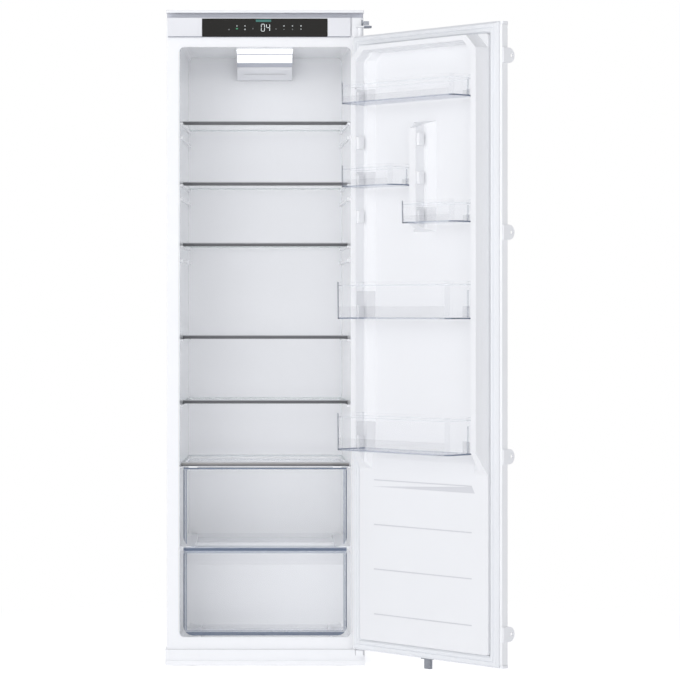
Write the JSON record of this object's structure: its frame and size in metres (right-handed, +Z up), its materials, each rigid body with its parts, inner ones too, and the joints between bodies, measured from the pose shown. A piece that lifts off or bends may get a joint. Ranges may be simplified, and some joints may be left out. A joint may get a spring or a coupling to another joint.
{
  "type": "built-in column refrigerator",
  "caption": "Tall built-in refrigerator with a hinged door, glass shelves, clear door racks, clear drawers, a control display and a sealed cooling circuit.",
  "frame": {"origin": "on the flat underside of the plinth, in the middle of the cabinet's width and in the plane of the cabinet's front flange", "axes": "+X toward the door's hinge side, +Y from the front into the cabinet, +Z up"},
  "size_m": [0.907, 0.9687, 1.775],
  "materials": {
    "white_paint": "satin",
    "white_plastic": "satin",
    "door_steel": "satin",
    "door_white": "satin",
    "foam": "matte",
    "seal": "matte",
    "black_glass": "gloss",
    "grey_trim": "satin",
    "clear_glass": "polished",
    "clear_plastic": "gloss",
    "lit_plastic": "matte",
    "board": "matte",
    "bare_steel": "satin",
    "black_paint": "matte",
    "black_plastic": "matte",
    "copper": "satin",
    "aluminium": "satin"
  },
  "bodies": {
    "cabinet": {"outer_shell": "white_paint", "back_panel": "white_paint", "insulation_foam": "foam", "inner_liner": "white_plastic", "top_plate": "white_plastic", "control_fascia": "white_plastic", "display_panel": "black_glass", "control_board": "board", "fascia_end_cover": "white_plastic", "base_plinth": "white_plastic", "base_tray": "bare_steel", "upper_hinge_bracket": "white_paint", "upper_hinge_pin": "bare_steel", "lower_hinge_bracket": "bare_steel", "lower_hinge_pin": "bare_steel", "lamp_housing": "white_plastic", "lamp_diffuser": "lit_plastic", "led_board": "board", "temperature_sensor": "white_plastic", "evaporator": "aluminium", "compressor": "black_paint", "terminal_cover": "black_plastic", "drip_tray": "black_plastic", "filter_dryer": "copper", "condenser": "black_paint", "suction_pipe": "copper", "liquid_pipe": "copper", "mains_inlet": "black_plastic"},
    "door": {"door_panel": "door_steel", "door_cap_top": "white_plastic", "door_cap_bottom": "white_plastic", "door_foam": "foam", "door_liner": "door_white", "door_gasket": "seal", "slider_1": "white_plastic", "slider_2": "white_plastic", "slider_3": "white_plastic", "slider_4": "white_plastic", "door_bottom_tab": "bare_steel"},
    "door_rack_1": {"rack_1": "clear_plastic"},
    "door_rack_2": {"rack_2": "clear_plastic"},
    "door_rack_3": {"rack_3": "clear_plastic"},
    "door_rack_4": {"rack_4": "clear_plastic"},
    "door_rack_5": {"rack_5": "clear_plastic"},
    "shelf_1": {"shelf_glass_1": "clear_glass", "shelf_trim_1": "grey_trim"},
    "shelf_2": {"shelf_glass_2": "clear_glass", "shelf_trim_2": "grey_trim"},
    "shelf_3": {"shelf_glass_3": "clear_glass", "shelf_trim_3": "grey_trim"},
    "shelf_4": {"shelf_glass_4": "clear_glass", "shelf_trim_4": "grey_trim"},
    "shelf_5": {"shelf_glass_5": "clear_glass", "shelf_trim_5": "grey_trim"},
    "drawer_cover": {"cover_glass": "clear_glass", "cover_trim": "grey_trim"},
    "upper_drawer": {"drawer_upper": "clear_plastic"},
    "lower_drawer": {"drawer_lower": "clear_plastic"},
    "left_foot": {"foot_front_left": "white_plastic"},
    "right_foot": {"foot_front_right": "white_plastic"}
  },
  "joints": [
    {"name": "door_hinge", "type": "hinge", "parent": "cabinet", "child": "door", "pos_m": [0.2563, -0.026, 0], "axis": [0, 0, 1], "range_deg": [-133, 0]},
    {"name": "rack_1_lift", "type": "slide", "parent": "door", "child": "door_rack_1", "axis": [0, 0, 1], "range_m": [0, 0.036]},
    {"name": "rack_2_lift", "type": "slide", "parent": "door", "child": "door_rack_2", "axis": [0, 0, 1], "range_m": [0, 0.036]},
    {"name": "rack_3_lift", "type": "slide", "parent": "door", "child": "door_rack_3", "axis": [0, 0, 1], "range_m": [0, 0.036]},
    {"name": "rack_4_lift", "type": "slide", "parent": "door", "child": "door_rack_4", "axis": [0, 0, 1], "range_m": [0, 0.036]},
    {"name": "rack_5_lift", "type": "slide", "parent": "door", "child": "door_rack_5", "axis": [0, 0, 1], "range_m": [0, 0.036]},
    {"name": "shelf_1_slide", "type": "slide", "parent": "cabinet", "child": "shelf_1", "axis": [0, -1, 0], "range_m": [0, 0.11]},
    {"name": "shelf_2_slide", "type": "slide", "parent": "cabinet", "child": "shelf_2", "axis": [0, -1, 0], "range_m": [0, 0.11]},
    {"name": "shelf_3_slide", "type": "slide", "parent": "cabinet", "child": "shelf_3", "axis": [0, -1, 0], "range_m": [0, 0.11]},
    {"name": "shelf_4_slide", "type": "slide", "parent": "cabinet", "child": "shelf_4", "axis": [0, -1, 0], "range_m": [0, 0.11]},
    {"name": "shelf_5_slide", "type": "slide", "parent": "cabinet", "child": "shelf_5", "axis": [0, -1, 0], "range_m": [0, 0.11]},
    {"name": "drawer_cover_slide", "type": "slide", "parent": "cabinet", "child": "drawer_cover", "axis": [0, -1, 0], "range_m": [0, 0.11]},
    {"name": "upper_drawer_slide", "type": "slide", "parent": "cabinet", "child": "upper_drawer", "axis": [0, -1, 0], "range_m": [0, 0.3]},
    {"name": "lower_drawer_slide", "type": "slide", "parent": "cabinet", "child": "lower_drawer", "axis": [0, -1, 0], "range_m": [0, 0.15]},
    {"name": "left_foot_screw", "type": "hinge", "parent": "cabinet", "child": "left_foot", "pos_m": [-0.202, 0.018, 0], "axis": [0, 0, 1], "continuous": true},
    {"name": "right_foot_screw", "type": "hinge", "parent": "cabinet", "child": "right_foot", "pos_m": [0.2025, 0.018, 0], "axis": [0, 0, 1], "continuous": true}
  ]
}
